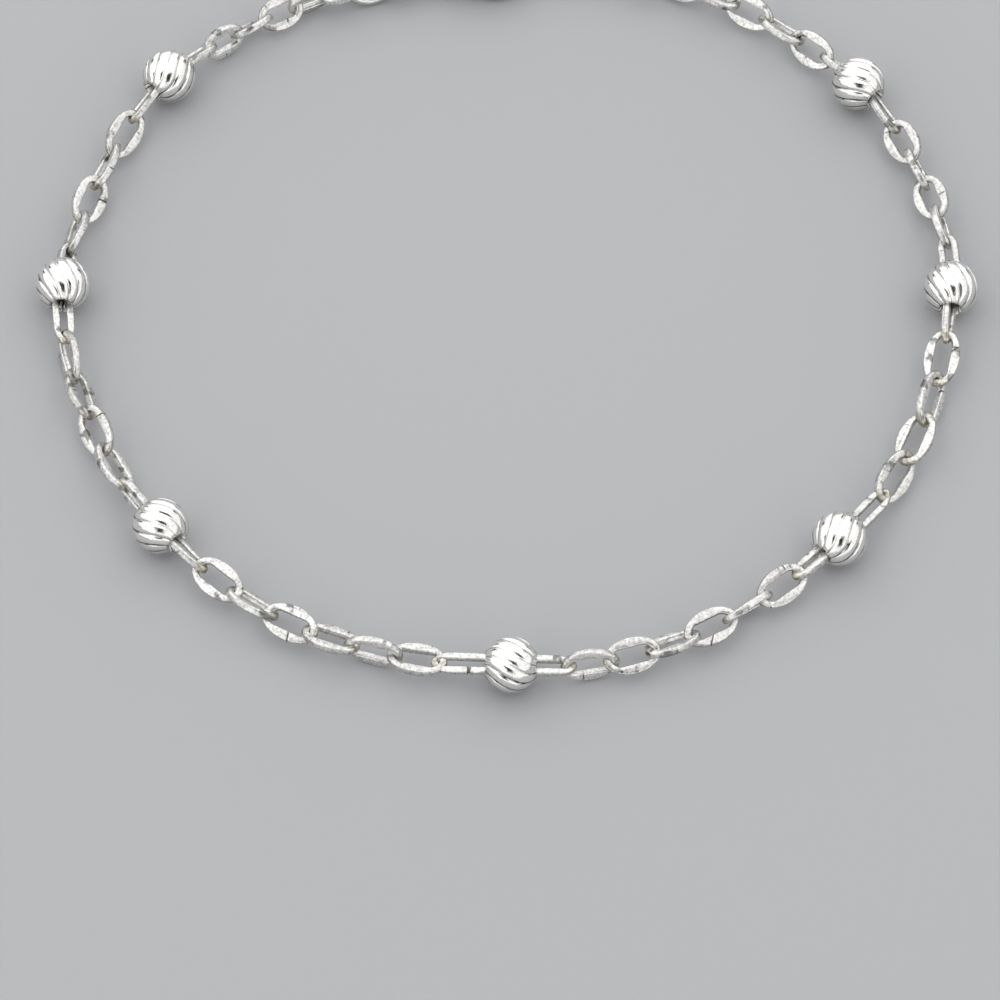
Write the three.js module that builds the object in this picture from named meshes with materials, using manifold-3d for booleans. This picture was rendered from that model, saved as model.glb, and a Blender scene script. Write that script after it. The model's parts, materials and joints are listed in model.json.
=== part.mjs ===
// A silver bracelet: seven spiral-fluted beads on a flat oval cable chain, closed by a ring and a hook clasp.
// It lies on a table as one loop. Millimetres, +Z up, the table at z = 0, the front bead at -Y.
import * as THREE from "three";
import { mergeVertices } from "three/addons/utils/BufferGeometryUtils.js";
import Module from "manifold-3d";

const wasm = await Module();
wasm.setup();

// Fluted beads, drilled along the chain
const BEAD_DIAMETER = 3.9;
const BEAD_LENGTH = 3.68;
const BEAD_BORE = 1.8;
const BEAD_BANDS = 6;
const FLUTES = 12;
const FLUTE_DEPTH = 0.16;
const FLUTE_TWIST = 68;

// Oval links of flattened wire
const LINK_WIDTH = 2.5;
const LINK_THICKNESS = 0.5;
const LINK_SIDE = 0.7;
const LINK_END = 0.62;
const LINK_BITE = 0.1;
const LINK_SIDES = 12;
const WIRE_SIDES = 6;

// Narrow links that reach into a bead, and the core between them inside the bore
const NARROW_WIDTH = 1.3;
const NARROW_SIDE = 0.46;
const NARROW_SIDES = 10;
const CORE_DIAMETER = 0.56;
const CORE_REACH = 1.65;
const FRONT_CORE_END = 0.42;

// The chain runs level with the bores at the beads and settles lower between them
const BEAD_HEIGHT = BEAD_DIAMETER / 2;
const CHAIN_HEIGHT = 1.38;
const SETTLE_LENGTH = 6;

// The jump ring leans back from the front and holds the last link on one side, the clasp's eye on the other
const RING_RADIUS = 1.95;
const RING_WIRE = 0.35;
const RING_LEAN = 60;
const RING_SIDES = 16;
const RING_HEADING = 16;
const RING_REACH = 2.45;

// The clasp: an eye, and a body whose far end is thinned to a bar that the last link hangs on
const EYE_RADIUS = 1.15;
const EYE_WIRE = 0.38;
const EYE_SLACK = 0.25;
const NECK_RADIUS = 0.75;
const NECK_REACH = 2.2;
const BELLY_RADIUS = 2.6;
const BELLY_REACH = 7.4;
const BAR_WIDTH = 1.0;
const BAR_THICKNESS = 0.85;
const WINDOW_REACH = 4.6;
const WINDOW_RADIUS = 0.5;
const CLASP_THICKNESS = 2 * CHAIN_HEIGHT;
const CLASP_BEVEL = 0.35;
const CLASP_HEADING = 11;
const HOOK_REACH = 0.4;
const ARC_STEPS = 12;

// The ring's wire crosses the height of the chain on both sides of its middle. The eye hangs on it there, and
// the clasp runs on to the middle of its bar.
function headingOf(degrees) {
  const turn = THREE.MathUtils.degToRad(degrees);
  return new THREE.Vector3(Math.cos(turn), Math.sin(turn), 0);
}
const RING_SLOPE = THREE.MathUtils.degToRad(RING_LEAN);
const RING_HEIGHT = RING_RADIUS * Math.sin(RING_SLOPE) + RING_WIRE;
const RING_GRIP = Math.sqrt(RING_RADIUS ** 2 - ((RING_HEIGHT - CHAIN_HEIGHT) / Math.sin(RING_SLOPE)) ** 2);
const RING_PLACE = new THREE.Vector3(-10.0, 27.1, CHAIN_HEIGHT);
const EYE_PLACE = RING_PLACE.clone()
  .addScaledVector(headingOf(RING_HEADING), RING_GRIP)
  .addScaledVector(headingOf(CLASP_HEADING), EYE_SLACK);
const BAR_REACH = BELLY_REACH + BELLY_RADIUS - BAR_WIDTH / 2;
const HOOK_PLACE = EYE_PLACE.clone().addScaledVector(headingOf(CLASP_HEADING), BAR_REACH);

// Stations of the loop, counter-clockwise from above. hand is the turn of a bead's flutes. Each row also
// tells the stretch that follows it: bow is how far it swings out from the straight line to the next station,
// rolls the roll of each of its links in degrees (0 lies flat, positive faces outwards), nearSlip and farSlip
// how far its end links have slid on along the loop from an even spacing. A link beside a bead is narrow.
const STATIONS = [
  { name: "bead_front", x: 0.25, y: -29.77, hand: 1, bow: 2.6, nearSlip: -0.35, farSlip: 0.5,
    rolls: [0, 70, 22, -36, 11, 109, 27, -25] },
  { name: "bead_low_right", x: 22.8, y: -19.97, hand: -1, bow: 1.95, nearSlip: 0, farSlip: 1.15,
    rolls: [0, 38, -12, 52, 0, 65] },
  { name: "bead_mid_right", x: 31.4, y: 0.38, hand: -1, bow: 1.6, nearSlip: 0.3, farSlip: -0.3,
    rolls: [-20, 63, -30, 64, -30, 45] },
  { name: "bead_upper_right", x: 25.5, y: 17.93, hand: -1, bow: 3.0, nearSlip: -0.85, farSlip: 0,
    rolls: [50, -46, 39, -50, 28, -62, 17, -76, 6, -90] },
  { name: "hook", x: HOOK_PLACE.x, y: HOOK_PLACE.y, reach: HOOK_REACH, bow: 0, rolls: [] },
  { name: "ring", x: RING_PLACE.x, y: RING_PLACE.y, reach: RING_REACH, bow: 1.2,
    nearSlip: -0.25, farSlip: -0.35, rolls: [25, 80, -47, 50, -73, 40] },
  { name: "bead_upper_left", x: -24.5, y: 18.63, hand: -1, bow: 1.35, nearSlip: -0.2, farSlip: 1.2,
    rolls: [52, -38, 55, -35, 58, -40] },
  { name: "bead_mid_left", x: -31.4, y: 0.68, hand: -1, bow: 1.65, nearSlip: -0.55, farSlip: 0.1,
    rolls: [-5, 66, -48, 38, -40, 70] },
  { name: "bead_low_left", x: -23.85, y: -18.97, hand: -1, bow: 3.0, nearSlip: -0.45, farSlip: -0.35,
    rolls: [-47, 13, -45, 15, -24, 79, -8, 5] },
];
const BOW_SHARE = 0.47;

const UP = new THREE.Vector3(0, 0, 1);
const SAMPLES = 120;

// A closed geometry as a solid, with shared corners merged
function solidOf(geometry, matrix = new THREE.Matrix4()) {
  const bare = new THREE.BufferGeometry();
  bare.setAttribute("position", geometry.getAttribute("position").clone());
  bare.setIndex(geometry.index);
  const merged = mergeVertices(bare.applyMatrix4(matrix), 1e-4);
  return new wasm.Manifold(
    new wasm.Mesh({
      numProp: 3,
      vertProperties: new Float32Array(merged.getAttribute("position").array),
      triVerts: new Uint32Array(merged.index.array),
    }),
  );
}

// A solid's surface as a geometry again
function geometryOf(solid) {
  const mesh = solid.getMesh();
  const geometry = new THREE.BufferGeometry();
  geometry.setAttribute("position", new THREE.BufferAttribute(mesh.vertProperties, 3));
  geometry.setIndex(new THREE.BufferAttribute(mesh.triVerts, 1));
  geometry.computeVertexNormals();
  return geometry;
}

// Moves every corner of a geometry by a function of its place
function reshape(geometry, move) {
  const position = geometry.getAttribute("position");
  const corner = new THREE.Vector3();
  for (let i = 0; i < position.count; i++) {
    corner.fromBufferAttribute(position, i);
    move(corner);
    position.setXYZ(i, corner.x, corner.y, corner.z);
  }
  return geometry;
}

function polished(name, geometry) {
  const material = new THREE.MeshStandardMaterial({ color: 0xd9d9d6, roughness: 0.25, metalness: 1 });
  const mesh = new THREE.Mesh(geometry, material);
  mesh.name = name;
  return mesh;
}

// The loop seen from above: a smooth closed curve through each station and each stretch's outermost point
const knots = [];
STATIONS.forEach((station, index) => {
  const next = STATIONS[(index + 1) % STATIONS.length];
  const here = new THREE.Vector3(station.x, station.y, 0);
  const chord = new THREE.Vector3(next.x, next.y, 0).sub(here);
  const outward = chord.clone().cross(UP).normalize();
  station.knot = knots.length;
  knots.push(here);
  if (station.bow) {
    knots.push(here.clone().addScaledVector(chord, BOW_SHARE).addScaledVector(outward, station.bow));
  }
});
const loop = new THREE.CatmullRomCurve3(knots, true, "catmullrom", 0.5);

// Distances along the loop at evenly spaced steps of the curve's own measure
const STEPS = SAMPLES * knots.length;
const distances = [0];
for (let i = 1; i <= STEPS; i++) {
  const piece = loop.getPoint((i / STEPS) % 1).distanceTo(loop.getPoint((i - 1) / STEPS));
  distances.push(distances[i - 1] + piece);
}
const LOOP_LENGTH = distances[STEPS];
STATIONS.forEach((station) => {
  station.distance = distances[station.knot * SAMPLES];
});
const BEADS = STATIONS.filter((station) => station.hand);

// The way from one place on the loop on to another, never negative
function wayFrom(start, end) {
  return THREE.MathUtils.euclideanModulo(end - start, LOOP_LENGTH);
}

// How far the chain has settled at a place on the loop, from 0 in a bead to 1 well away from one
function settled(distance) {
  const ways = BEADS.flatMap((bead) => [wayFrom(bead.distance, distance), wayFrom(distance, bead.distance)]);
  return (1 - Math.cos(Math.PI * Math.min(1, Math.min(...ways) / SETTLE_LENGTH))) / 2;
}

// The chain's middle line at a distance along the loop
function pointOn(distance) {
  const wrapped = wayFrom(0, distance);
  const i = Math.max(1, distances.findIndex((reached) => reached >= wrapped));
  const share = (wrapped - distances[i - 1]) / (distances[i] - distances[i - 1]);
  const point = loop.getPoint((i - 1 + share) / STEPS);
  point.z = THREE.MathUtils.lerp(BEAD_HEIGHT, CHAIN_HEIGHT, settled(distance));
  return point;
}

// The place of a piece that lies along a direction, rolled about it: x along, z square to its face
function placed(point, along, rollDegrees) {
  const roll = THREE.MathUtils.degToRad(rollDegrees);
  const level = UP.clone().addScaledVector(along, -UP.dot(along)).normalize();
  const outward = along.clone().cross(level);
  const face = level.multiplyScalar(Math.cos(roll)).addScaledVector(outward, Math.sin(roll));
  const across = face.clone().cross(along);
  return new THREE.Matrix4().makeBasis(along, across, face).setPosition(point);
}

// One oval link, flat on the XY plane with its length along X
function linkGeometry(length, width, side, sides) {
  const tube = 0.5;
  const torus = new THREE.TorusGeometry(1, tube, WIRE_SIDES, sides);
  const halfLength = (length - LINK_END) / 2;
  const halfWidth = (width - side) / 2;
  return reshape(torus, (corner) => {
    const turn = Math.atan2(corner.y, corner.x);
    const across = (Math.hypot(corner.x, corner.y) - 1) / tube;
    const wire = THREE.MathUtils.lerp(LINK_END, side, Math.sin(turn) ** 2) / 2;
    const normal = new THREE.Vector2(halfWidth * Math.cos(turn), halfLength * Math.sin(turn)).normalize();
    corner.x = halfLength * Math.cos(turn) + normal.x * across * wire;
    corner.y = halfWidth * Math.sin(turn) + normal.y * across * wire;
    corner.z *= LINK_THICKNESS / (2 * tube * Math.sin(Math.PI / 3));
  });
}

// The links of one stretch as solids. Each is as long as its pitch needs to meet the next.
function linksOf(index) {
  const from = STATIONS[index];
  const to = STATIONS[(index + 1) % STATIONS.length];
  const way = wayFrom(from.distance, to.distance) - (from.reach ?? 0) - (to.reach ?? 0);
  const last = from.rolls.length - 1;
  const even = way / (last + (from.hand ? 1 : 0) + (to.hand ? 1 : 0));
  const pitch = even + (from.farSlip - from.nearSlip) / last;
  const length = pitch + 2 * LINK_END - LINK_BITE;
  const solids = from.rolls.map((roll, k) => {
    const distance = from.distance + (from.reach ?? even) + from.nearSlip + k * pitch;
    const ahead = pointOn(distance + pitch / 2);
    const along = ahead.sub(pointOn(distance - pitch / 2)).normalize();
    const beside = (k === 0 && from.hand) || (k === last && to.hand);
    const shape = beside
      ? linkGeometry(length, NARROW_WIDTH, NARROW_SIDE, NARROW_SIDES)
      : linkGeometry(length, LINK_WIDTH, LINK_SIDE, LINK_SIDES);
    return solidOf(shape, placed(pointOn(distance), along, roll));
  });
  return solids;
}

// The direction of the chain at a station
function directionAt(index) {
  return loop.getTangent(STATIONS[index].knot / knots.length);
}

// The core inside one bead's bore, between two distances from the bead's middle
function coreOf(index, start, end) {
  const rod = new THREE.CylinderGeometry(CORE_DIAMETER / 2, CORE_DIAMETER / 2, end - start, WIRE_SIDES);
  rod.rotateZ(-Math.PI / 2).translate((start + end) / 2, 0, 0);
  const { x, y } = STATIONS[index];
  return solidOf(rod, placed(new THREE.Vector3(x, y, BEAD_HEIGHT), directionAt(index), 0));
}

// A run of stretches and the cores in the beads between them, fused into one body
function chainOf(name, indices, ends) {
  const solids = indices.flatMap(linksOf);
  for (const index of indices.slice(1)) {
    solids.push(coreOf(index, -CORE_REACH, CORE_REACH));
  }
  const chain = [...solids, ...ends].reduce((joined, solid) => joined.add(solid));
  return polished(name, geometryOf(chain));
}

// One bead: a ball with flattened poles, cut by spiral flutes that fade at the bore
function beadOf(index) {
  const { name, x, y, hand } = STATIONS[index];
  const radius = BEAD_DIAMETER / 2;
  const rim = BEAD_BORE / 2;
  const rimAngle = Math.acos(rim / radius);
  const flatten = BEAD_LENGTH / 2 / (radius * Math.sin(rimAngle));
  const profile = [];
  for (let i = 0; i <= BEAD_BANDS; i++) {
    const angle = rimAngle * ((2 * i) / BEAD_BANDS - 1);
    profile.push(new THREE.Vector2(radius * Math.cos(angle), radius * Math.sin(angle) * flatten));
  }
  profile.push(profile[0].clone());
  const twist = -THREE.MathUtils.degToRad(FLUTE_TWIST);
  const shape = reshape(new THREE.LatheGeometry(profile, 2 * FLUTES), (corner) => {
    const reach = Math.hypot(corner.x, corner.z);
    const turn = Math.atan2(corner.x, corner.z);
    const groove = (1 - Math.cos(FLUTES * turn)) / 2;
    const depth = FLUTE_DEPTH * groove * Math.min(1, (reach - rim) / (radius - rim) * 2);
    const turned = turn + (twist * corner.y) / BEAD_LENGTH;
    corner.x = (reach - depth) * Math.sin(turned);
    corner.z = (reach - depth) * Math.cos(turned);
  });
  const bead = polished(name, geometryOf(solidOf(shape)));
  bead.position.set(x, y, BEAD_HEIGHT);
  bead.quaternion.setFromUnitVectors(new THREE.Vector3(0, 1, 0), directionAt(index));
  bead.scale.x = -hand;
  return bead;
}

// The jump ring, leaning back so that its lower edge rests on the table
function ringOf() {
  const along = headingOf(RING_HEADING);
  const back = UP.clone().cross(along);
  const rise = RING_HEIGHT - CHAIN_HEIGHT;
  const middle = RING_PLACE.clone().addScaledVector(UP, rise);
  middle.addScaledVector(back, rise / Math.tan(RING_SLOPE));
  const torus = new THREE.TorusGeometry(RING_RADIUS, RING_WIRE, WIRE_SIDES, RING_SIDES);
  const ring = polished("jump_ring", geometryOf(solidOf(torus)));
  placed(middle, along, RING_LEAN).decompose(ring.position, ring.quaternion, ring.scale);
  return ring;
}

// An egg outline: a small arc and a large one, joined by their common tangents
function eggOutline(path, smallX, smallRadius, largeX, largeRadius) {
  const slope = Math.acos((smallRadius - largeRadius) / (largeX - smallX));
  path.absarc(largeX, 0, largeRadius, -slope, slope, false);
  path.absarc(smallX, 0, smallRadius, slope, 2 * Math.PI - slope, false);
  path.closePath();
  return path;
}

// The clasp: the eye lies in the ring, the body's egg-shaped loop ends in the bar
function claspOf() {
  const outline = eggOutline(new THREE.Shape(), NECK_REACH, NECK_RADIUS, BELLY_REACH, BELLY_RADIUS);
  outline.holes.push(
    eggOutline(new THREE.Path(), WINDOW_REACH, WINDOW_RADIUS, BELLY_REACH, BELLY_RADIUS - BAR_WIDTH),
  );
  const body = new THREE.ExtrudeGeometry(outline, {
    depth: CLASP_THICKNESS - 2 * CLASP_BEVEL,
    bevelThickness: CLASP_BEVEL,
    bevelSize: CLASP_BEVEL,
    bevelOffset: -CLASP_BEVEL,
    bevelSegments: 1,
    curveSegments: ARC_STEPS,
  });
  body.translate(0, 0, CLASP_BEVEL - CLASP_THICKNESS / 2);
  const barStart = BAR_REACH - BAR_WIDTH / 2;
  reshape(body, (corner) => {
    const thinning = THREE.MathUtils.smoothstep(corner.x, BELLY_REACH, barStart);
    corner.z *= THREE.MathUtils.lerp(1, BAR_THICKNESS / CLASP_THICKNESS, thinning);
  });
  const eye = new THREE.TorusGeometry(EYE_RADIUS, EYE_WIRE, WIRE_SIDES, LINK_SIDES);
  const clasp = polished("clasp", geometryOf(solidOf(body).add(solidOf(eye))));
  placed(EYE_PLACE, headingOf(CLASP_HEADING), 0).decompose(clasp.position, clasp.quaternion, clasp.scale);
  return clasp;
}

const bracelet = new THREE.Group();
const frontCore = coreOf(0, -CORE_REACH, FRONT_CORE_END);
bracelet.add(chainOf("chain_right", [0, 1, 2, 3], []));
bracelet.add(chainOf("chain_left", [5, 6, 7, 8], [frontCore]));
STATIONS.forEach((station, index) => {
  if (station.hand) {
    bracelet.add(beadOf(index));
  }
});
bracelet.add(ringOf());
bracelet.add(claspOf());

export default bracelet;
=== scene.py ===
"""Dresses a silver bracelet: rolled oval links, fluted beads, a jump ring and a hook clasp."""

import bisect
import json
import math
from random import Random
from typing import NamedTuple

import bpy
from mathutils import Matrix, Vector
from mathutils.geometry import interpolate_bezier

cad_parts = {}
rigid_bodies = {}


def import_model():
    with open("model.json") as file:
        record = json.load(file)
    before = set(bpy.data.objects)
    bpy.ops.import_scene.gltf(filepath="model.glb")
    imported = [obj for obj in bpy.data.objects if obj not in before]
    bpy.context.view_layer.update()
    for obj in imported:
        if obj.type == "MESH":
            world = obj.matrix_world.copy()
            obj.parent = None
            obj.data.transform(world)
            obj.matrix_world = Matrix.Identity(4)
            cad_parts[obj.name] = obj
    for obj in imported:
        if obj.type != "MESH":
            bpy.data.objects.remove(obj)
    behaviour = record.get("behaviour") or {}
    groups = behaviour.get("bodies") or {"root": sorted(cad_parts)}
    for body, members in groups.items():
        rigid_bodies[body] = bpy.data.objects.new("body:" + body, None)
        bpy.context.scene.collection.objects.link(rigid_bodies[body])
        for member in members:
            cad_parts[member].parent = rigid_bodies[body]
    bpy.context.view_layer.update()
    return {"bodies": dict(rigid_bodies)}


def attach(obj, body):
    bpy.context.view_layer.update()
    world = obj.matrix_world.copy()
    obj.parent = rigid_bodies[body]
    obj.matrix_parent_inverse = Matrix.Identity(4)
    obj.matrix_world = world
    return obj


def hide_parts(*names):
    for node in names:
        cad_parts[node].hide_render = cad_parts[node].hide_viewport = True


bl_info = {
    "name": "Silver Bead Bracelet",
    "version": (1, 0, 0),
    "blender": (4, 5, 0),
    "location": "View3D > Sidebar > Bracelet",
    "description": "Models the links, beads, ring and clasp of a silver bracelet around its frame",
    "category": "Add Mesh",
}

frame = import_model()

MM = 0.001
UP = Vector((0, 0, 1))
CUT_TOLERANCE = 1e-7
SMOOTH_ANGLE = math.radians(40)
# The bracelet has no joints, so everything rides on its one body
(BODY,) = frame["bodies"]


class Seam(NamedTuple):
    """A butt joint that stands open.

    link is counted from 1, bar is 1 for the one towards the loop's middle and -1 for the one away from it,
    place is the distance along the link from its middle and gap the joint's width, both in millimetres,
    slant the joint's turn in degrees.
    """

    link: int
    bar: int
    place: float
    slant: float
    gap: float = 0.1


class Station(NamedTuple):
    """A place on the loop in millimetres, and the stretch of chain that follows it.

    hand is the turn of a bead's flutes, reach how far a ring or hook keeps the links away, bow how far the
    stretch swings out from the straight line to the next station. near_slip and far_slip are how far its
    end links have slid on, rolls the roll of each of its links in degrees.
    """

    name: str
    x: float
    y: float
    hand: int = 0
    reach: float = 0.0
    bow: float = 0.0
    near_slip: float = 0.0
    far_slip: float = 0.0
    rolls: tuple = ()
    seams: tuple = ()


# The ring leans back over the chain, the clasp's eye hangs in it, the last link hangs on the clasp's bar
RING_PLACE = Vector((-10.0, 27.1, 1.38)) * MM
RING_RADIUS = 1.95 * MM
RING_WIRE = 0.35 * MM
RING_GAP = 0.1 * MM
RING_LEAN = math.radians(60)
RING_HEADING = math.radians(16)
EYE_SLACK = 0.25 * MM
CLASP_HEADING = math.radians(11)
NECK_REACH = 2.2 * MM
BELLY_REACH = 7.4 * MM
BELLY_RADIUS = 2.6 * MM
BAR_WIDTH = 1.0 * MM
BAR_REACH = BELLY_REACH + BELLY_RADIUS - BAR_WIDTH / 2


def heading(angle):
    """The level direction at an angle from +X."""
    return Vector((math.cos(angle), math.sin(angle), 0))


RING_RISE = RING_RADIUS * math.sin(RING_LEAN) + RING_WIRE - RING_PLACE.z
RING_GRIP = math.sqrt(RING_RADIUS**2 - (RING_RISE / math.sin(RING_LEAN)) ** 2)
EYE_PLACE = RING_PLACE + heading(RING_HEADING) * RING_GRIP + heading(CLASP_HEADING) * EYE_SLACK
HOOK_PLACE = EYE_PLACE + heading(CLASP_HEADING) * BAR_REACH

# In their order along the loop, counter-clockwise from above
STATIONS = (
    Station("bead_front", 0.25, -29.77, hand=1, bow=2.6, near_slip=-0.35, far_slip=0.5,
            rolls=(0, 70, 22, -36, 11, 109, 27, -25), seams=(Seam(5, -1, -0.45, -40),)),
    Station("bead_low_right", 22.8, -19.97, hand=-1, bow=1.95, far_slip=1.15,
            rolls=(0, 38, -12, 52, 0, 65), seams=(Seam(5, -1, 0.85, 40),)),
    Station("bead_mid_right", 31.4, 0.38, hand=-1, bow=1.6, near_slip=0.3, far_slip=-0.3,
            rolls=(-20, 63, -30, 64, -30, 45)),
    Station("bead_upper_right", 25.5, 17.93, hand=-1, bow=3.0, near_slip=-0.85,
            rolls=(50, -46, 39, -50, 28, -62, 17, -76, 6, -90)),
    Station("hook", HOOK_PLACE.x / MM, HOOK_PLACE.y / MM, reach=0.4),
    Station("ring", RING_PLACE.x / MM, RING_PLACE.y / MM, reach=2.45, bow=1.2, near_slip=-0.25,
            far_slip=-0.35, rolls=(25, 80, -47, 50, -73, 40)),
    Station("bead_upper_left", -24.5, 18.63, hand=-1, bow=1.35, near_slip=-0.2, far_slip=1.2,
            rolls=(52, -38, 55, -35, 58, -40), seams=(Seam(4, 1, -0.45, 8),)),
    Station("bead_mid_left", -31.4, 0.68, hand=-1, bow=1.65, near_slip=-0.55, far_slip=0.1,
            rolls=(-5, 66, -48, 38, -40, 70), seams=(Seam(4, 1, -0.67, -8),)),
    Station("bead_low_left", -23.85, -18.97, hand=-1, bow=3.0, near_slip=-0.45, far_slip=-0.35,
            rolls=(-47, 13, -45, 15, -24, 79, -8, 5),
            seams=(Seam(4, -1, 0.3, 15), Seam(8, -1, 0.3, 0, gap=0.26))),
)
HALVES = {"chain_right": STATIONS[:4], "chain_left": STATIONS[5:]}
# A stretch's outermost point lies this share of the way to the next station
BOW_SHARE = 0.47
CURVE_STEPS = 120


def srgb(code):
    """A hex colour as linear red, green, blue and alpha."""
    parts = [int(code[i : i + 2], 16) / 255 for i in (1, 3, 5)]
    return tuple(c / 12.92 if c <= 0.04045 else ((c + 0.055) / 1.055) ** 2.4 for c in parts) + (1.0,)


def length_property(name, description, millimetres):
    """A size in the sidebar, given in millimetres."""
    return bpy.props.FloatProperty(
        name=name, description=description, default=millimetres * MM, unit="LENGTH", precision=5
    )


def colour_property(name, description, code):
    """A colour in the sidebar, given as sRGB hex."""
    return bpy.props.FloatVectorProperty(
        name=name, description=description, default=srgb(code), size=4, subtype="COLOR", min=0, max=1
    )


class BraceletSizes(bpy.types.PropertyGroup):
    """Sizes of the bracelet's pieces."""

    link_width: length_property("Link width", "Outer width of a link", 2.5)
    link_side: length_property("Side width", "Width of the flattened wire along a link's sides", 0.67)
    link_end: length_property("End width", "Width of the wire round a link's ends", 0.56)
    link_overlap: length_property("Link overlap", "How much longer a link is than its pitch", 1.14)
    link_thickness: length_property("Link thickness", "Thickness of the flattened wire", 0.5)
    narrow_width: length_property("Narrow width", "Outer width of a link that reaches into a bead", 1.48)
    narrow_side: length_property("Narrow side", "Width of the wire along a narrow link's sides", 0.5)
    narrow_reach: length_property("Narrow reach", "How far a narrow link runs on into its bead", 0.6)
    chain_height: length_property("Chain height", "Height of the chain's middle line between beads", 1.38)
    settle_length: length_property("Settle length", "How far from a bead the chain has sunk", 6)
    bead_diameter: length_property("Bead diameter", "Diameter over the flutes", 3.92)
    bead_length: length_property("Bead length", "Length along the bore", 3.7)
    bead_mouth: length_property("Bead mouth", "Diameter of the bore", 1.4)
    flute_depth: length_property("Flute depth", "Depth of the cuts between the flutes", 0.14)
    flutes: bpy.props.IntProperty(name="Flutes", description="Cuts around a bead", default=12, min=6)
    flute_twist: bpy.props.FloatProperty(
        name="Flute twist",
        description="Turn of a flute from end to end",
        default=math.radians(68),
        subtype="ANGLE",
    )


class BraceletColours(bpy.types.PropertyGroup):
    """Colours of the silver and of the stage."""

    silver: colour_property("Silver", "Clean polished silver", "#F8F7F4")
    worn: colour_property("Worn silver", "Silver dulled by handling", "#B4B3B0")
    tarnish: colour_property("Tarnish", "Yellowed silver where links rub", "#A89E86")
    oxide: colour_property("Oxide", "Dark oxide left in cuts and seams", "#2F2D2B")
    floor: colour_property("Floor", "The pale table", "#AFB0B2")


def sizes():
    """The sizes set in the sidebar."""
    return bpy.context.scene.bracelet_sizes


def colours():
    """The colours set in the sidebar."""
    return bpy.context.scene.bracelet_colours


class ChainLoop:
    """The chain's middle line, a smooth loop through the stations and each stretch's outermost point."""

    def __init__(self):
        knots = []
        starts = {}
        for here, ahead in zip(STATIONS, STATIONS[1:] + STATIONS[:1]):
            start = Vector((here.x, here.y, 0)) * MM
            chord = Vector((ahead.x, ahead.y, 0)) * MM - start
            starts[here.name] = len(knots) * CURVE_STEPS
            knots.append(start)
            if here.bow:
                knots.append(start + chord * BOW_SHARE + chord.cross(UP).normalized() * here.bow * MM)
        self.points = []
        for i, here in enumerate(knots):
            before, ahead, beyond = (knots[(i + step) % len(knots)] for step in (-1, 1, 2))
            handles = here + (ahead - before) / 6, ahead - (beyond - here) / 6
            self.points += interpolate_bezier(here, *handles, ahead, CURVE_STEPS + 1)[:-1]
        self.points.append(self.points[0])
        self.reached = [0.0]
        for a, b in zip(self.points, self.points[1:]):
            self.reached.append(self.reached[-1] + (b - a).length)
        self.length = self.reached[-1]
        self.at = {name: self.reached[index] for name, index in starts.items()}

    def way(self, start, end):
        """The way on along the loop from one distance to another."""
        return (end - start) % self.length

    def point(self, distance):
        """The chain's middle at a distance, level with the bores at beads and lower between them."""
        distance %= self.length
        i = min(bisect.bisect_right(self.reached, distance), len(self.reached) - 1)
        share = (distance - self.reached[i - 1]) / (self.reached[i] - self.reached[i - 1])
        point = self.points[i - 1].lerp(self.points[i], share)
        beads = [self.at[station.name] for station in STATIONS if station.hand]
        away = min(min(self.way(bead, distance), self.way(distance, bead)) for bead in beads)
        settled = (1 - math.cos(math.pi * min(1, away / sizes().settle_length))) / 2
        top = sizes().bead_diameter / 2
        point.z = top + (sizes().chain_height - top) * settled
        return point

    def along(self, distance, span):
        """The chain's direction at a distance, taken over a span."""
        return (self.point(distance + span / 2) - self.point(distance - span / 2)).normalized()


def placed(point, along, roll):
    """The place of a piece along a direction: x runs along it, z is square to its face, rolled outwards."""
    level = (UP - along * UP.dot(along)).normalized()
    outward = along.cross(level)
    face = level * math.cos(roll) + outward * math.sin(roll)
    across = face.cross(along)
    return Matrix.Translation(point) @ Matrix((along, across, face)).transposed().to_4x4()


def start_edit():
    """Opens the active piece in edit mode with all of it selected."""
    bpy.ops.object.mode_set(mode="EDIT")
    bpy.ops.mesh.select_mode(type="VERT")
    bpy.ops.mesh.select_all(action="SELECT")


def pick(test):
    """Selects the corners of the active piece whose place passes a test."""
    bpy.ops.mesh.select_all(action="DESELECT")
    bpy.ops.object.mode_set(mode="OBJECT")
    for corner in bpy.context.object.data.vertices:
        corner.select = test(corner.co)
    bpy.ops.object.mode_set(mode="EDIT")


def apply_modifier(kind, **settings):
    """Adds a modifier to the active piece and applies it."""
    bpy.ops.object.modifier_add(type=kind)
    modifier = bpy.context.object.modifiers[-1]
    for name, value in settings.items():
        setattr(modifier, name, value)
    bpy.ops.object.modifier_apply(modifier=modifier.name)


def finish_piece(piece, name, slot, nodes, *materials):
    """Names a modelled piece, gives it its materials and lets it stand for its nodes."""
    piece.name = name
    piece.data.name = name
    for material in materials:
        piece.data.materials.append(material)
    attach(piece, BODY)
    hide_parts(*nodes)


def add_node(tree, kind, inputs, **settings):
    """Adds a shader node, sets its properties, and sets or links its inputs by name or number."""
    node = tree.nodes.new("ShaderNode" + kind)
    for name, value in settings.items():
        setattr(node, name, value)
    for name, value in inputs.items():
        if isinstance(value, bpy.types.NodeSocket):
            tree.links.new(value, node.inputs[name])
        else:
            node.inputs[name].default_value = value
    return node


def new_material(name):
    """An empty node material and its tree."""
    material = bpy.data.materials.new(name)
    material.use_nodes = True
    material.node_tree.nodes.clear()
    return material, material.node_tree


def finish_metal(tree, colour, rough, height, depth):
    """Ends a metal's tree: relief of a depth from a height, the metal's shader and the output."""
    bump = add_node(tree, "Bump", {"Height": height, "Strength": 0.5, "Distance": depth})
    shader = add_node(
        tree,
        "BsdfPrincipled",
        {"Base Color": colour, "Metallic": 1.0, "Roughness": rough, "Normal": bump.outputs["Normal"]},
    )
    add_node(tree, "OutputMaterial", {"Surface": shader.outputs["BSDF"]})


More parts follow.
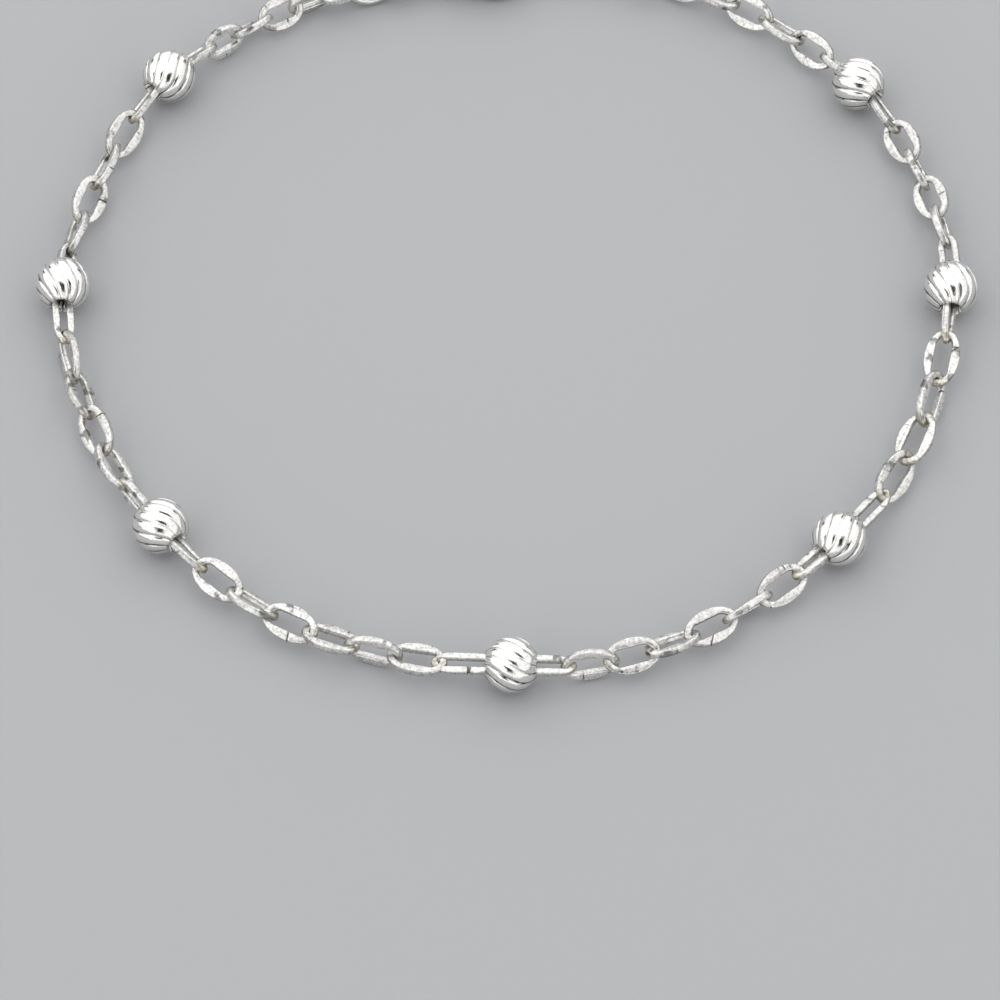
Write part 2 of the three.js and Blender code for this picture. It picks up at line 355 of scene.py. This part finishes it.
# The sockets of a Mix node that mixes colours
MIX_FACTOR, MIX_A, MIX_B, MIX_RESULT = 0, 6, 7, 2
SEED_SPREAD = 40.0


def rolled_silver():
    """Sterling silver wire, rolled flat and tumbled: satin white and mottled, with dark stains and nicks
    that hold oxide, slightly yellowed ends where the links rub, and a painted dark reflection on the wire's
    side walls."""
    material, tree = new_material("rolled_tumbled_sterling_silver")
    place = add_node(tree, "Attribute", {}, attribute_name="link_place").outputs["Vector"]
    tone = add_node(tree, "Attribute", {}, attribute_name="link_tone").outputs["Fac"]
    # Every link shows another part of the patterns
    seed = add_node(tree, "Math", {0: tone, 1: SEED_SPREAD}, operation="MULTIPLY").outputs["Value"]

    # Rolling lines along the wire 0.12 mm apart, and nicks across it 0.28 mm wide and three times as long
    drawn, across = (
        add_node(tree, "Mapping", {"Vector": place, "Scale": scale}).outputs["Vector"]
        for scale in ((0.12 / MM, 8 / MM, 8 / MM), (3.6 / MM, 1.2 / MM, 1.2 / MM))
    )
    # Tumbling grain drawn at 0.2 mm, twice as coarse as the real one so that it shows, waves of 1.2 mm left
    # by rolling and bending, and stains of 1 mm
    grain, wave, stain, lines, pits = (
        add_node(
            tree,
            "TexNoise",
            {"Vector": vector, "W": seed, "Scale": scale, "Detail": detail},
            noise_dimensions="4D",
        ).outputs["Fac"]
        for vector, scale, detail in (
            (place, 1 / (0.2 * MM), 4.0),
            (place, 1 / (1.2 * MM), 2.0),
            (place, 1 / (1.0 * MM), 3.0),
            (drawn, 1.0, 2.0),
            (across, 1.0, 1.0),
        )
    )
    # Yellowed ends: the last quarter of the link, broken up by the grain
    apart = add_node(tree, "SeparateXYZ", {"Vector": place}).outputs
    away = add_node(tree, "Math", {0: apart["X"]}, operation="ABSOLUTE").outputs["Value"]
    end = add_node(tree, "MapRange", {"Value": away, "From Min": 1.3 * MM, "From Max": 2.1 * MM})
    # The wire's narrow side walls, darkened as a painted dark reflection
    off = add_node(tree, "Math", {0: apart["Z"]}, operation="ABSOLUTE").outputs["Value"]
    edge = add_node(tree, "MapRange", {"Value": off, "From Min": 0.24 * MM, "From Max": 0.14 * MM})
    rubbed = add_node(tree, "Math", {0: end.outputs["Result"], 1: grain}, operation="MULTIPLY")
    # Each layer has its pattern, where that begins and is full, the most that it covers, and its colour
    colour = colours().silver
    for value, low, high, most, paint in (
        (tone, 0.4, 1.0, 0.3, colours().worn),
        (wave, 0.5, 0.7, 0.4, colours().worn),
        (grain, 0.42, 0.68, 0.42, colours().oxide),
        # Painted dark reflection on the wire's side walls, in the oxide colour
        (edge.outputs["Result"], 0.0, 1.0, 0.12, colours().oxide),
        (rubbed.outputs["Value"], 0.2, 0.6, 0.8, colours().tarnish),
        (lines, 0.58, 0.72, 0.45, colours().oxide),
        (stain, 0.6, 0.66, 0.66, colours().oxide),
        (pits, 0.7, 0.75, 0.8, colours().oxide),
    ):
        limits = {"Value": value, "From Min": low, "From Max": high, "To Max": most}
        factor = add_node(tree, "MapRange", limits).outputs["Result"]
        layers = {MIX_FACTOR: factor, MIX_A: colour, MIX_B: paint}
        colour = add_node(tree, "Mix", layers, data_type="RGBA").outputs[MIX_RESULT]
    satin = {"Value": lines, "From Min": 0.3, "From Max": 0.7, "To Min": 0.28, "To Max": 0.42}
    rough = add_node(tree, "MapRange", satin)
    fine = add_node(tree, "Math", {0: grain, 1: lines}, operation="ADD").outputs["Value"]
    relief = add_node(tree, "Math", {0: wave, 1: 4.0, 2: fine}, operation="MULTIPLY_ADD").outputs["Value"]
    finish_metal(tree, colour, rough.outputs["Result"], relief, depth=0.02 * MM)
    return material


def oxidised_seam():
    """Silver oxide in a butt joint that the polish can't reach: nearly black, dull and uneven."""
    material, tree = new_material("oxidised_silver_seam")
    around = add_node(tree, "TexCoord", {}).outputs["Object"]
    # Crust about 0.1 mm across
    inputs = {"Vector": around, "Scale": 1 / (0.1 * MM), "Detail": 3.0}
    crust = add_node(tree, "TexNoise", inputs).outputs["Fac"]
    layers = {MIX_FACTOR: crust, MIX_A: colours().oxide, MIX_B: colours().tarnish}
    colour = add_node(tree, "Mix", layers, data_type="RGBA").outputs[MIX_RESULT]
    rough = add_node(tree, "MapRange", {"Value": crust, "To Min": 0.5, "To Max": 0.75}).outputs["Result"]
    finish_metal(tree, colour, rough, crust, depth=0.01 * MM)
    return material


def bright_cut_silver():
    """Sterling silver cut with a round tool and tumbled: soft bright flutes, oxide down in the cuts,
    painted shade underneath.
    """
    material, tree = new_material("bright_cut_sterling_silver")
    cut = add_node(tree, "Attribute", {}, attribute_name="cut_depth").outputs["Fac"]
    around = add_node(tree, "TexCoord", {}).outputs["Object"]
    # Handling marks about 0.45 mm across, and grain drawn at 0.14 mm so that it shows
    marks, grain = (
        add_node(tree, "TexNoise", {"Vector": around, "Scale": scale, "Detail": 4.0}).outputs["Fac"]
        for scale in (1 / (0.45 * MM), 1 / (0.14 * MM))
    )
    # The oxide lines in the cuts are real, but they fade out towards the bead's top as painted shade, and
    # the underside is darkened with painted shade
    height = add_node(tree, "SeparateXYZ", {"Vector": around}).outputs["Z"]
    # Painted shade: the cut lines are at full strength low on the bead and fade to 0.4 at the top
    low = {"Value": height, "From Min": 2.6 * MM, "From Max": 3.7 * MM, "To Min": 1.0, "To Max": 0.4}
    lower_groove_shade = add_node(tree, "MapRange", low).outputs["Result"]
    left = add_node(tree, "Math", {0: cut, 1: lower_groove_shade}, operation="MULTIPLY").outputs["Value"]
    line = add_node(tree, "MapRange", {"Value": left, "From Min": 0.4, "From Max": 0.85}).outputs["Result"]
    broken = add_node(tree, "MapRange", {"Value": marks, "From Min": 0.35, "From Max": 0.6, "To Min": 0.5})
    dark = add_node(tree, "Math", {0: line, 1: broken.outputs["Result"]}, operation="MULTIPLY")
    # Painted shade: the oxide colour darkens the bead below 2.7 mm, up to 0.3
    dull = {"Value": height, "From Min": 2.7 * MM, "From Max": 1.2 * MM, "To Max": 0.3}
    underside_shade = add_node(tree, "MapRange", dull)
    shaded = add_node(tree, "MapRange", {"Value": grain, "From Min": 0.5, "From Max": 0.75, "To Max": 0.5})
    colour = colours().silver
    for factor, paint in (
        (shaded.outputs["Result"], colours().worn),
        (underside_shade.outputs["Result"], colours().oxide),
        (dark.outputs["Value"], colours().oxide),
    ):
        layers = {MIX_FACTOR: factor, MIX_A: colour, MIX_B: paint}
        colour = add_node(tree, "Mix", layers, data_type="RGBA").outputs[MIX_RESULT]
    soft = {"Value": marks, "From Min": 0.35, "From Max": 0.7, "To Min": 0.15, "To Max": 0.26}
    rough = add_node(tree, "MapRange", soft)
    finish_metal(tree, colour, rough.outputs["Result"], grain, depth=0.01 * MM)
    return material


def polished_silver():
    """Drawn or cast sterling silver, wheel-polished: a soft mirror with fine handling scratches."""
    material, tree = new_material("wheel_polished_sterling_silver")
    around = add_node(tree, "TexCoord", {}).outputs["Object"]
    # Handling marks about 0.4 mm across
    inputs = {"Vector": around, "Scale": 1 / (0.4 * MM), "Detail": 5.0}
    marks = add_node(tree, "TexNoise", inputs).outputs["Fac"]
    layers = {MIX_FACTOR: marks, MIX_A: colours().silver, MIX_B: colours().worn}
    colour = add_node(tree, "Mix", layers, data_type="RGBA").outputs[MIX_RESULT]
    soft = {"Value": marks, "From Min": 0.35, "From Max": 0.7, "To Min": 0.16, "To Max": 0.3}
    rough = add_node(tree, "MapRange", soft)
    finish_metal(tree, colour, rough.outputs["Result"], marks, depth=0.01 * MM)
    return material


LINK_CORNERS = 48
END_ROUNDING = 0.2 * MM
SIDE_ROUNDING_SHARE = 0.3
ROUNDING_STEPS = 3
# How far a slot's oval bulges past its sides before they are pressed straight
SLOT_FULLNESS = 1.35
# The share of a narrow link's length that runs parallel
NARROW_STRAIGHT = 0.35
# The share of the wire's width that is left inside a joint
SEAM_PINCH = 0.5
# The most that bending has twisted a link
LINK_TWIST = math.radians(16)
LINK_SEED = 11


def model_link(length, width, side, straight):
    """One link, flat on XY: an oval with a straight-sided slot, raised to the wire's thickness, its edges
    rolled round, more so at the ends. straight is the share of its length that runs parallel."""
    thickness = sizes().link_thickness
    run = straight * length / 2
    slot_half = width / 2 - side
    slot_reach = length / 2 - sizes().link_end - run
    bpy.ops.object.select_all(action="DESELECT")
    bpy.ops.mesh.primitive_circle_add(vertices=LINK_CORNERS, radius=slot_reach)
    link = bpy.context.object
    start_edit()
    bulge = SLOT_FULLNESS * slot_half / slot_reach
    bpy.ops.transform.resize(value=(1, bulge, 1), center_override=(0, 0, 0))
    for half in (slot_half, -slot_half):
        pick(lambda place: place.y / half > 1)
        bpy.ops.transform.resize(value=(1, 0, 1), center_override=(0, half, 0))
    bpy.ops.mesh.select_all(action="DESELECT")
    bpy.ops.mesh.primitive_circle_add(vertices=LINK_CORNERS, radius=length / 2 - run)
    bpy.ops.transform.resize(value=(1, width / (length - 2 * run), 1), center_override=(0, 0, 0))
    bpy.ops.mesh.select_all(action="SELECT")
    bpy.ops.mesh.bridge_edge_loops()
    for way in (1, -1):
        pick(lambda place: place.x * way > CUT_TOLERANCE)
        bpy.ops.transform.translate(value=(way * run, 0, 0))
    bpy.ops.mesh.select_all(action="SELECT")
    bpy.ops.transform.translate(value=(0, 0, -thickness / 2))
    bpy.ops.mesh.extrude_region_move(TRANSFORM_OT_translate={"value": (0, 0, thickness)})
    bpy.ops.mesh.select_all(action="SELECT")
    bpy.ops.mesh.normals_make_consistent(inside=False)
    bpy.ops.object.mode_set(mode="OBJECT")
    mesh = link.data
    # An edge between a flat and a wall is rounded
    beside = {}
    for face in mesh.polygons:
        for key in face.edge_keys:
            beside.setdefault(key, set()).add(round(abs(face.normal.z)))
    weights = mesh.attributes.new("bevel_weight_edge", "FLOAT", "EDGE")
    for edge in mesh.edges:
        middle = sum((mesh.vertices[i].co for i in edge.vertices), Vector()) / 2
        turn = math.atan2(middle.y * length / width, middle.x)
        share = SIDE_ROUNDING_SHARE + (1 - SIDE_ROUNDING_SHARE) * math.cos(turn) ** 2
        weights.data[edge.index].value = share if len(beside[edge.key]) == 2 else 0
    apply_modifier("BEVEL", width=END_ROUNDING, segments=ROUNDING_STEPS, limit_method="WEIGHT")
    bpy.ops.object.shade_smooth_by_angle(angle=SMOOTH_ANGLE)
    places = mesh.attributes.new("link_place", "FLOAT_VECTOR", "POINT")
    for corner, place in zip(mesh.vertices, places.data):
        place.vector = corner.co
    mesh.attributes.new("link_tone", "FLOAT", "POINT")
    return link


def copied(piece):
    """A copy of a piece with its own mesh, made the active piece."""
    copy = piece.copy()
    copy.data = piece.data.copy()
    bpy.context.collection.objects.link(copy)
    bpy.context.view_layer.objects.active = copy
    return copy


def cut_seam(middle, slant, gap, on_side):
    """Cuts a pinched, slanting butt joint across the active piece's wire, and gives its faces the second
    material."""
    piece = bpy.context.object
    normal = heading(slant)

    def off(place):
        """How far a place lies from the joint's plane."""
        return (place - middle).dot(normal)

    start_edit()
    for shift in (-gap / 2, gap / 2, 0):
        pick(on_side)
        bpy.ops.mesh.bisect(plane_co=middle + normal * shift, plane_no=normal, threshold=CUT_TOLERANCE)
    pick(lambda place: on_side(place) and abs(off(place)) < gap / 4)
    bpy.ops.transform.resize(value=(1, SEAM_PINCH, SEAM_PINCH), center_override=middle)
    bpy.ops.object.mode_set(mode="OBJECT")
    for face in piece.data.polygons:
        if on_side(face.center) and abs(off(face.center)) < gap / 2:
            face.material_index = 1


def stretch_links(loop, here, ahead, dice, *materials):
    """The links of the stretch after a station: a wide and a narrow one, modelled, copied and placed."""
    way = loop.way(loop.at[here.name], loop.at[ahead.name]) - (here.reach + ahead.reach) * MM
    last = len(here.rolls) - 1
    even = way / (last + bool(here.hand) + bool(ahead.hand))
    pitch = even + (here.far_slip - here.near_slip) * MM / last
    length = pitch + sizes().link_overlap
    reach = sizes().narrow_reach
    wide_wire = sizes().link_width, sizes().link_side
    narrow_wire = sizes().narrow_width, sizes().narrow_side
    wide = model_link(length, *wide_wire, straight=0)
    narrow = model_link(length + reach, *narrow_wire, straight=NARROW_STRAIGHT)
    for model in (wide, narrow):
        for material in materials:
            model.data.materials.append(material)
    # The first link lies a pitch away from a bead, or where a ring or hook keeps it
    first = loop.at[here.name] + (even if here.hand else here.reach * MM) + here.near_slip * MM
    links = []
    for k, roll in enumerate(here.rolls):
        towards_bead = 0
        if k == 0 and here.hand:
            towards_bead = -1
        elif k == last and ahead.hand:
            towards_bead = 1
        link = copied(narrow if towards_bead else wide)
        for seam in here.seams:
            if seam.link == k + 1:
                width, side = narrow_wire if towards_bead else wide_wire
                middle = Vector((seam.place * MM, seam.bar * (width - side) / 2, 0))
                slant = math.radians(seam.slant)
                cut_seam(middle, slant, seam.gap * MM, lambda place: place.y * seam.bar > 0)
        twist = dice.uniform(-LINK_TWIST, LINK_TWIST)
        apply_modifier("SIMPLE_DEFORM", deform_method="TWIST", deform_axis="X", angle=twist)
        tone = dice.random()
        for value in link.data.attributes["link_tone"].data:
            value.value = tone
        distance = first + k * pitch + towards_bead * reach / 2
        along = loop.along(distance, pitch)
        link.data.transform(placed(loop.point(distance), along, math.radians(roll)))
        links.append(link)
    for model in (wide, narrow):
        bpy.data.objects.remove(model)
    return links


class BRACELET_OT_chain(bpy.types.Operator):
    """Models both halves of the oval link chain"""

    bl_idname = "bracelet.chain"
    bl_label = "Chain"

    def execute(self, context):
        loop = ChainLoop()
        dice = Random(LINK_SEED)
        silver = rolled_silver()
        seam = oxidised_seam()
        for name, stations in HALVES.items():
            links = []
            for here in stations:
                ahead = STATIONS[(STATIONS.index(here) + 1) % len(STATIONS)]
                links += stretch_links(loop, here, ahead, dice, silver, seam)
            bpy.ops.object.select_all(action="DESELECT")
            for link in links:
                link.select_set(True)
            context.view_layer.objects.active = links[0]
            bpy.ops.object.join()
            finish_piece(context.object, name + "_links", "link_silver", [name])
        return {"FINISHED"}


# The columns of corners in a flute, and how many of them the oxide reaches beside a cut
FLUTE_COLUMNS = 12
CUT_COLUMNS = 3
# The higher, the fuller the flutes and the narrower the cuts
FLUTE_FULLNESS = 3.4
BEAD_RINGS = 26
BORE_SPAN = 0.1 * MM


def model_bead(hand):
    """One bead along Z: a ball, its ends cut off and bored, its meridians pressed to flutes and twisted."""
    radius = sizes().bead_diameter / 2
    half = sizes().bead_length / 2
    flutes = sizes().flutes
    bpy.ops.object.select_all(action="DESELECT")
    columns = flutes * FLUTE_COLUMNS
    bpy.ops.mesh.primitive_uv_sphere_add(segments=columns, ring_count=BEAD_RINGS, radius=radius)
    bead = bpy.context.object
    start_edit()
    squash = half / math.sqrt(radius**2 - (sizes().bead_mouth / 2) ** 2)
    bpy.ops.transform.resize(value=(1, 1, squash), center_override=(0, 0, 0))
    for z in (half, -half):
        bpy.ops.mesh.select_all(action="SELECT")
        outward = (0, 0, math.copysign(1, z))
        bpy.ops.mesh.bisect(plane_co=(0, 0, z), plane_no=outward, clear_outer=True, threshold=CUT_TOLERANCE)
    pick(lambda place: abs(place.z) > half - CUT_TOLERANCE)
    bpy.ops.mesh.bridge_edge_loops()
    bpy.ops.mesh.select_all(action="SELECT")
    bpy.ops.mesh.normals_make_consistent(inside=False)

    def column(place):
        """How many columns a place lies from the nearest cut."""
        turn = math.atan2(place.y, place.x) / (2 * math.pi) * flutes
        return round(abs(turn - round(turn)) * FLUTE_COLUMNS)

    for step in range(FLUTE_COLUMNS // 2):
        pick(lambda place: column(place) == step)
        share = (1 - 2 * step / FLUTE_COLUMNS) ** FLUTE_FULLNESS
        press = 1 - sizes().flute_depth * share / radius
        bpy.ops.transform.resize(value=(press, press, 1), center_override=(0, 0, 0))
    bpy.ops.object.mode_set(mode="OBJECT")
    cuts = bead.data.attributes.new("cut_depth", "FLOAT", "POINT")
    for corner, cut in zip(bead.data.vertices, cuts.data):
        cut.value = max(0.0, 1 - column(corner.co) / CUT_COLUMNS)
    twist = hand * sizes().flute_twist
    apply_modifier("SIMPLE_DEFORM", deform_method="TWIST", deform_axis="Z", angle=twist)
    apply_modifier("SUBSURF", levels=1, render_levels=1)
    bpy.ops.object.shade_smooth()
    return bead


class BRACELET_OT_beads(bpy.types.Operator):
    """Models the spiral-fluted beads"""

    bl_idname = "bracelet.beads"
    bl_label = "Beads"

    def execute(self, context):
        loop = ChainLoop()
        silver = bright_cut_silver()
        upright = Matrix.Rotation(math.pi / 2, 4, "Y")
        models = {hand: model_bead(hand) for hand in (1, -1)}
        for station in STATIONS:
            if not station.hand:
                continue
            bead = copied(models[station.hand])
            distance = loop.at[station.name]
            middle = loop.point(distance)
            along = loop.along(distance, BORE_SPAN)
            bead.data.transform(placed(middle, along, 0) @ upright)
            finish_piece(bead, station.name + "_fluted", "bead_silver", [station.name], silver)
        for model in models.values():
            bpy.data.objects.remove(model)
        return {"FINISHED"}


class BRACELET_OT_jump_ring(bpy.types.Operator):
    """Models the jump ring that leans on the chain's end"""

    bl_idname = "bracelet.jump_ring"
    bl_label = "Jump Ring"

    def execute(self, context):
        bpy.ops.object.select_all(action="DESELECT")
        bpy.ops.mesh.primitive_torus_add(
            major_radius=RING_RADIUS, minor_radius=RING_WIRE, major_segments=72, minor_segments=18
        )
        ring = context.object
        ring.data.materials.append(polished_silver())
        ring.data.materials.append(oxidised_seam())
        cut_seam(Vector((0, RING_RADIUS, 0)), 0, RING_GAP, lambda place: place.y > 0)
        bpy.ops.object.shade_smooth_by_angle(angle=SMOOTH_ANGLE)
        along = heading(RING_HEADING)
        middle = RING_PLACE + UP * RING_RISE + UP.cross(along) * RING_RISE / math.tan(RING_LEAN)
        ring.data.transform(placed(middle, along, RING_LEAN))
        finish_piece(ring, "jump_ring_wire", "ring_silver", ["jump_ring"])
        return {"FINISHED"}


NECK_RADIUS = 0.75 * MM
WINDOW_REACH = 4.6 * MM
WINDOW_RADIUS = 0.5 * MM
CLASP_THICKNESS = 2.76 * MM
BAR_THICKNESS = 0.85 * MM
EYE_RADIUS = 1.15 * MM
EYE_WIRE = 0.38 * MM
NECK_THICKNESS = 1.6 * MM
CLASP_CORNERS = 64
OUTER_ROUNDING = 0.68 * MM
WINDOW_ROUNDING = 0.28 * MM
TAPER_STEPS = 12
CLASP_ROUNDING = {"segments": 5, "limit_method": "ANGLE", "angle_limit": math.radians(50)}
CLASP_SMOOTH_ANGLE = math.radians(35)
FLAT_ANGLE = math.radians(1)


def model_egg(small_x, small_radius, large_x, large_radius, thickness):
    """A flat egg-shaped block: two discs of the given radii, wrapped in one skin."""
    bpy.ops.object.select_all(action="DESELECT")
    bpy.ops.mesh.primitive_cylinder_add(
        vertices=CLASP_CORNERS, radius=small_radius, depth=thickness, location=(small_x, 0, 0)
    )
    egg = bpy.context.object
    bpy.ops.object.transform_apply(location=True)
    start_edit()
    bpy.ops.mesh.primitive_cylinder_add(
        vertices=CLASP_CORNERS, radius=large_radius, depth=thickness, location=(large_x, 0, 0)
    )
    bpy.ops.mesh.select_all(action="SELECT")
    bpy.ops.mesh.convex_hull()
    bpy.ops.mesh.select_all(action="SELECT")
    bpy.ops.mesh.dissolve_limited(angle_limit=FLAT_ANGLE)
    bpy.ops.object.mode_set(mode="OBJECT")
    return egg


def taper(start, end, share):
    """Cuts the active piece across and thins it smoothly from one place along X to another, down to a share
    of its height."""
    bpy.ops.object.select_all(action="DESELECT")
    bpy.context.object.select_set(True)
    start_edit()
    before = 1.0
    for step in range(TAPER_STEPS):
        bpy.ops.mesh.select_all(action="SELECT")
        cut = (start + (end - start) * step / TAPER_STEPS, 0, 0)
        bpy.ops.mesh.bisect(plane_co=cut, plane_no=(1, 0, 0), threshold=CUT_TOLERANCE)
    for step in range(TAPER_STEPS):
        edge = start + (end - start) * (step + 0.5) / TAPER_STEPS
        eased = (1 - math.cos(math.pi * (step + 1) / TAPER_STEPS)) / 2
        height = 1 + (share - 1) * eased
        pick(lambda place: (place.x - edge) * (end - start) > 0)
        bpy.ops.transform.resize(value=(1, 1, height / before), center_override=(0, 0, 0))
        before = height
    bpy.ops.object.mode_set(mode="OBJECT")


class BRACELET_OT_clasp(bpy.types.Operator):
    """Models the plain hook clasp"""

    bl_idname = "bracelet.clasp"
    bl_label = "Clasp"

    def execute(self, context):
        body = model_egg(NECK_REACH, NECK_RADIUS, BELLY_REACH, BELLY_RADIUS, CLASP_THICKNESS)
        apply_modifier("BEVEL", width=OUTER_ROUNDING, **CLASP_ROUNDING)
        window = model_egg(
            WINDOW_REACH, WINDOW_RADIUS, BELLY_REACH, BELLY_RADIUS - BAR_WIDTH, 2 * CLASP_THICKNESS
        )
        context.view_layer.objects.active = body
        apply_modifier("BOOLEAN", operation="DIFFERENCE", object=window, solver="EXACT")
        bpy.data.objects.remove(window)
        apply_modifier("BEVEL", width=WINDOW_ROUNDING, **CLASP_ROUNDING)
        taper(BELLY_REACH, BAR_REACH, BAR_THICKNESS / CLASP_THICKNESS)
        taper(BELLY_REACH, NECK_REACH, NECK_THICKNESS / CLASP_THICKNESS)
        bpy.ops.object.select_all(action="DESELECT")
        bpy.ops.mesh.primitive_torus_add(
            major_radius=EYE_RADIUS, minor_radius=EYE_WIRE, major_segments=48, minor_segments=16
        )
        eye = context.object
        context.view_layer.objects.active = body
        apply_modifier("BOOLEAN", operation="UNION", object=eye, solver="EXACT")
        bpy.data.objects.remove(eye)
        bpy.ops.object.select_all(action="DESELECT")
        body.select_set(True)
        bpy.ops.object.shade_smooth_by_angle(angle=CLASP_SMOOTH_ANGLE)
        body.data.transform(placed(EYE_PLACE, heading(CLASP_HEADING), 0))
        finish_piece(body, "clasp_body", "clasp_silver", ["clasp"], polished_silver())
        return {"FINISHED"}


# The camera looks down at the table point at the picture's middle
CAMERA_AIM = Vector((-0.49, -15.77, 0)) * MM
CAMERA_RISE = math.radians(60)
CAMERA_WAY = 347.2 * MM
CAMERA_LENS = 180
CAMERA_SENSOR = 36
CAMERA_CLIP = 0.01
FLOOR_SIDE = 1.6


class SoftBox(NamedTuple):
    """A studio light that looks at the bracelet: its place and sides in metres, its power in watts."""

    name: str
    place: tuple
    width: float
    depth: float
    power: float


# A light tent, open where the camera looks in
SOFT_BOXES = (
    SoftBox("left_wall", (-0.6, -0.1, 0.4), 1.7, 0.8, 5.0),
    SoftBox("right_wall", (0.6, -0.1, 0.4), 1.7, 0.8, 4.4),
    SoftBox("back_wall", (0.0, 0.75, 0.4), 1.3, 0.8, 4.0),
    SoftBox("front_wall", (0.0, -0.75, 0.2), 1.3, 0.4, 1.6),
    SoftBox("roof", (0.0, 0.15, 0.85), 1.2, 1.0, 4.6),
)
WORLD_STRENGTH = 0.1


def pale_table():
    """Painted board, rolled matt: a plain pale surface with a barely seen roller stipple."""
    material, tree = new_material("matt_painted_board")
    around = add_node(tree, "TexCoord", {}).outputs["Object"]
    # Roller stipple about 1.2 mm across
    inputs = {"Vector": around, "Scale": 1 / (1.2 * MM), "Detail": 2.0}
    stipple = add_node(tree, "TexNoise", inputs).outputs["Fac"]
    bump = add_node(tree, "Bump", {"Height": stipple, "Strength": 0.05, "Distance": 0.05 * MM})
    shader = add_node(
        tree,
        "BsdfPrincipled",
        {"Base Color": colours().floor, "Roughness": 0.8, "Normal": bump.outputs["Normal"]},
    )
    add_node(tree, "OutputMaterial", {"Surface": shader.outputs["BSDF"]})
    return material


class BRACELET_OT_stage(bpy.types.Operator):
    """Adds the pale table, the soft light and the camera"""

    bl_idname = "bracelet.stage"
    bl_label = "Stage"

    def execute(self, context):
        bpy.ops.object.select_all(action="DESELECT")
        bpy.ops.mesh.primitive_plane_add(size=FLOOR_SIDE)
        table = context.object
        table.name = "table"
        table.data.materials.append(pale_table())
        for box in SOFT_BOXES:
            place = Vector(box.place)
            bpy.ops.object.light_add(
                type="AREA", location=place, rotation=(-place).to_track_quat("-Z", "Y").to_euler()
            )
            light = context.object
            light.name = box.name
            light.data.shape = "RECTANGLE"
            light.data.size = box.width
            light.data.size_y = box.depth
            light.data.energy = box.power
        world = bpy.data.worlds.new("studio")
        world.use_nodes = True
        world.node_tree.nodes["Background"].inputs["Strength"].default_value = WORLD_STRENGTH
        context.scene.world = world
        context.scene.view_settings.view_transform = "Standard"
        way = Vector((0, -math.cos(CAMERA_RISE), math.sin(CAMERA_RISE))) * CAMERA_WAY
        bpy.ops.object.camera_add(location=CAMERA_AIM + way, rotation=(math.pi / 2 - CAMERA_RISE, 0, 0))
        camera = context.object
        camera.name = "camera"
        camera.data.lens = CAMERA_LENS
        camera.data.sensor_width = CAMERA_SENSOR
        camera.data.clip_start = CAMERA_CLIP
        context.scene.camera = camera
        return {"FINISHED"}


OPERATORS = (
    BRACELET_OT_chain,
    BRACELET_OT_beads,
    BRACELET_OT_jump_ring,
    BRACELET_OT_clasp,
    BRACELET_OT_stage,
)


class BRACELET_PT_sidebar(bpy.types.Panel):
    """Lists the bracelet's pieces and its sizes and colours"""

    bl_label = "Silver Bead Bracelet"
    bl_space_type = "VIEW_3D"
    bl_region_type = "UI"
    bl_category = "Bracelet"

    def draw(self, context):
        for operator in OPERATORS:
            self.layout.operator(operator.bl_idname)
        for group in (sizes(), colours()):
            for name in group.__annotations__:
                self.layout.prop(group, name)


CLASSES = (BraceletSizes, BraceletColours, *OPERATORS, BRACELET_PT_sidebar)


def register():
    """Registers the classes and hangs the sizes and colours on the scene."""
    for cls in CLASSES:
        bpy.utils.register_class(cls)
    bpy.types.Scene.bracelet_sizes = bpy.props.PointerProperty(type=BraceletSizes)
    bpy.types.Scene.bracelet_colours = bpy.props.PointerProperty(type=BraceletColours)


def unregister():
    """Takes the sizes and colours off the scene again."""
    del bpy.types.Scene.bracelet_colours
    del bpy.types.Scene.bracelet_sizes
    for cls in reversed(CLASSES):
        bpy.utils.unregister_class(cls)


def main():
    """Models the whole bracelet and its stage."""
    register()
    bpy.ops.bracelet.chain()
    bpy.ops.bracelet.beads()
    bpy.ops.bracelet.jump_ring()
    bpy.ops.bracelet.clasp()
    bpy.ops.bracelet.stage()


if __name__ == "__main__":
    main()
